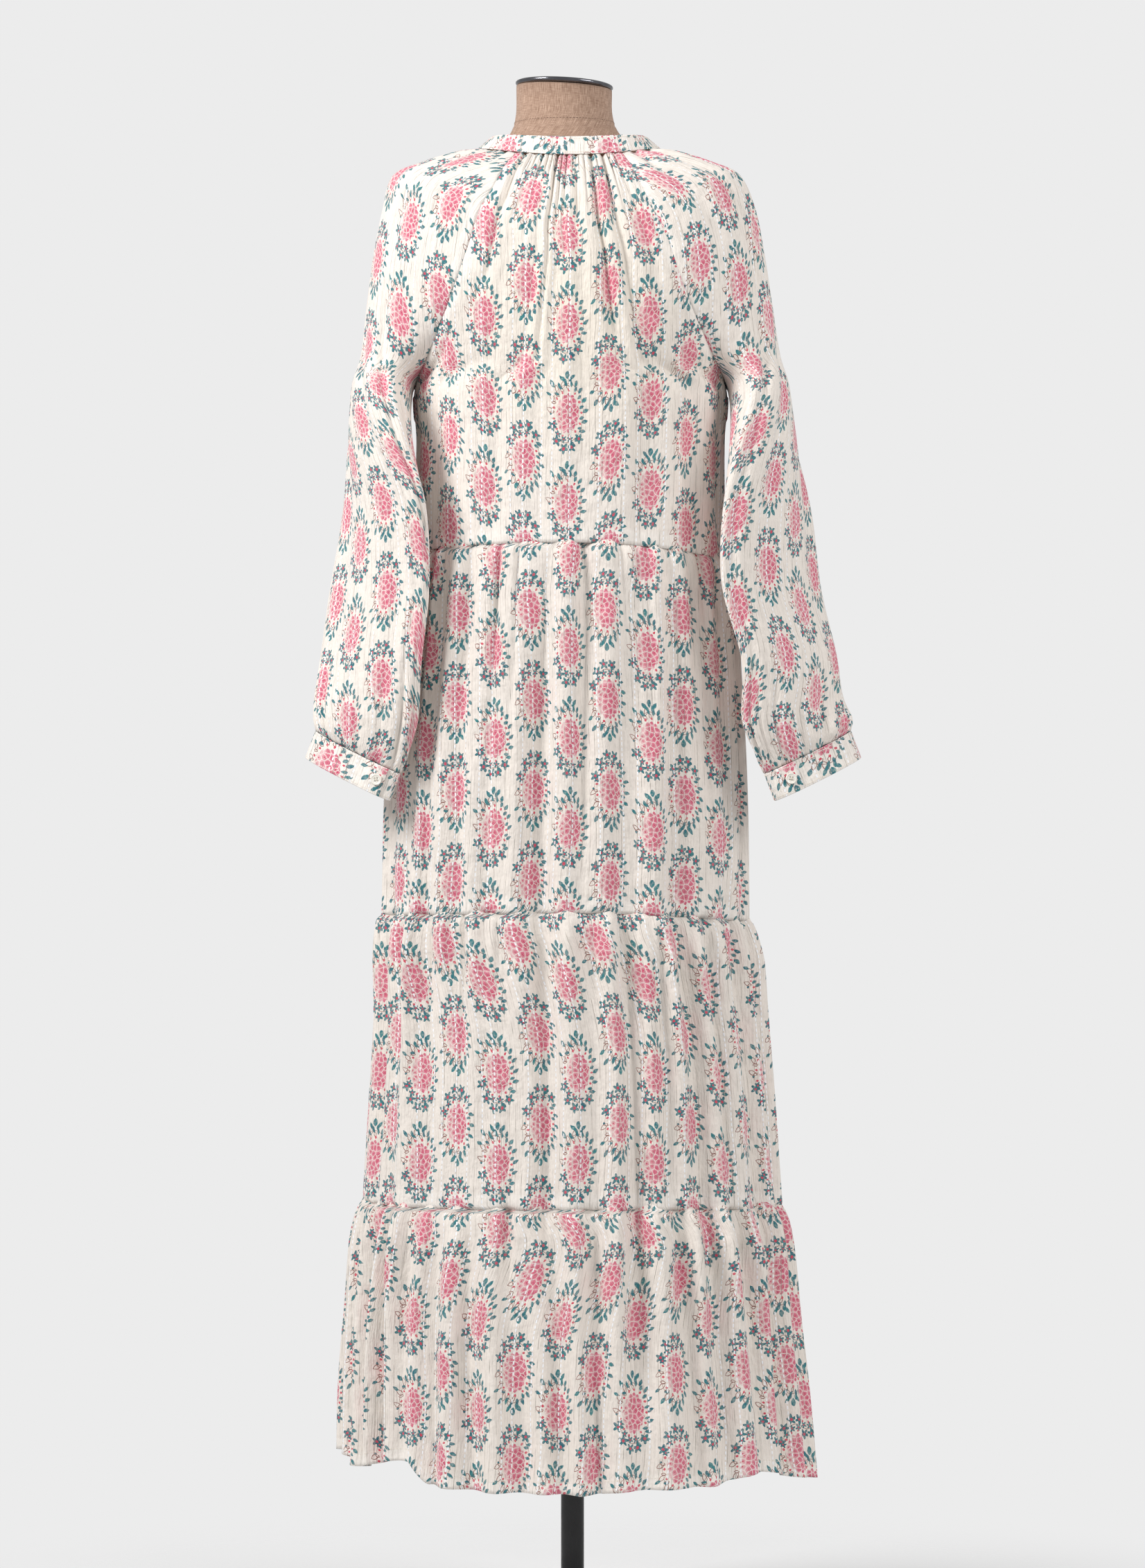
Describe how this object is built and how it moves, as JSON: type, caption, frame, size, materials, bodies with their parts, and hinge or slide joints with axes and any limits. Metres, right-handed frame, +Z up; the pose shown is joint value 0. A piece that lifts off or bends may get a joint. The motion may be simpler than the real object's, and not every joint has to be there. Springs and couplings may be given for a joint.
{
  "type": "maxi dress on a limbless dress form with a stand",
  "caption": "Full-length tiered and gathered dress with a band collar and long cuffed raglan sleeves, hanging hollow on a limbless dress form with a pole and a round base.",
  "frame": {"origin": "centre of the base plate's underside, on the floor and on the pole's axis", "axes": "+Z up; -Y the dress's back, which the picture shows; +Y the dress's front; +X towards the wearer's right arm, which is on the right seen from behind"},
  "size_m": [0.5696, 0.3678, 1.611],
  "materials": {
    "printed_cotton": "thin crinkled cream cotton with a block print in pink, coral and teal and silvery thread stripes",
    "shell_button": "polished shell-like white with a soft sheen",
    "linen": "plain beige linen, stretched smooth over the form",
    "chrome": "polished chrome",
    "black_steel": "smooth black paint with a low gloss"
  },
  "bodies": {
    "root": {"back_bodice": "printed_cotton", "front_bodice": "printed_cotton", "front_placket": "printed_cotton", "sleeve_left": "printed_cotton", "sleeve_right": "printed_cotton", "collar_band": "printed_cotton", "cuff_left": "printed_cotton", "cuff_right": "printed_cotton", "tier_1_back": "printed_cotton", "tier_1_front": "printed_cotton", "tier_2_back": "printed_cotton", "tier_2_front": "printed_cotton", "tier_3_back": "printed_cotton", "tier_3_front": "printed_cotton", "cuff_button_left": "shell_button", "cuff_button_right": "shell_button", "form_torso": "linen", "neck_cap": "chrome", "form_flange": "black_steel", "stand_pole": "black_steel", "stand_base": "black_steel"}
  },
  "joints": []
}
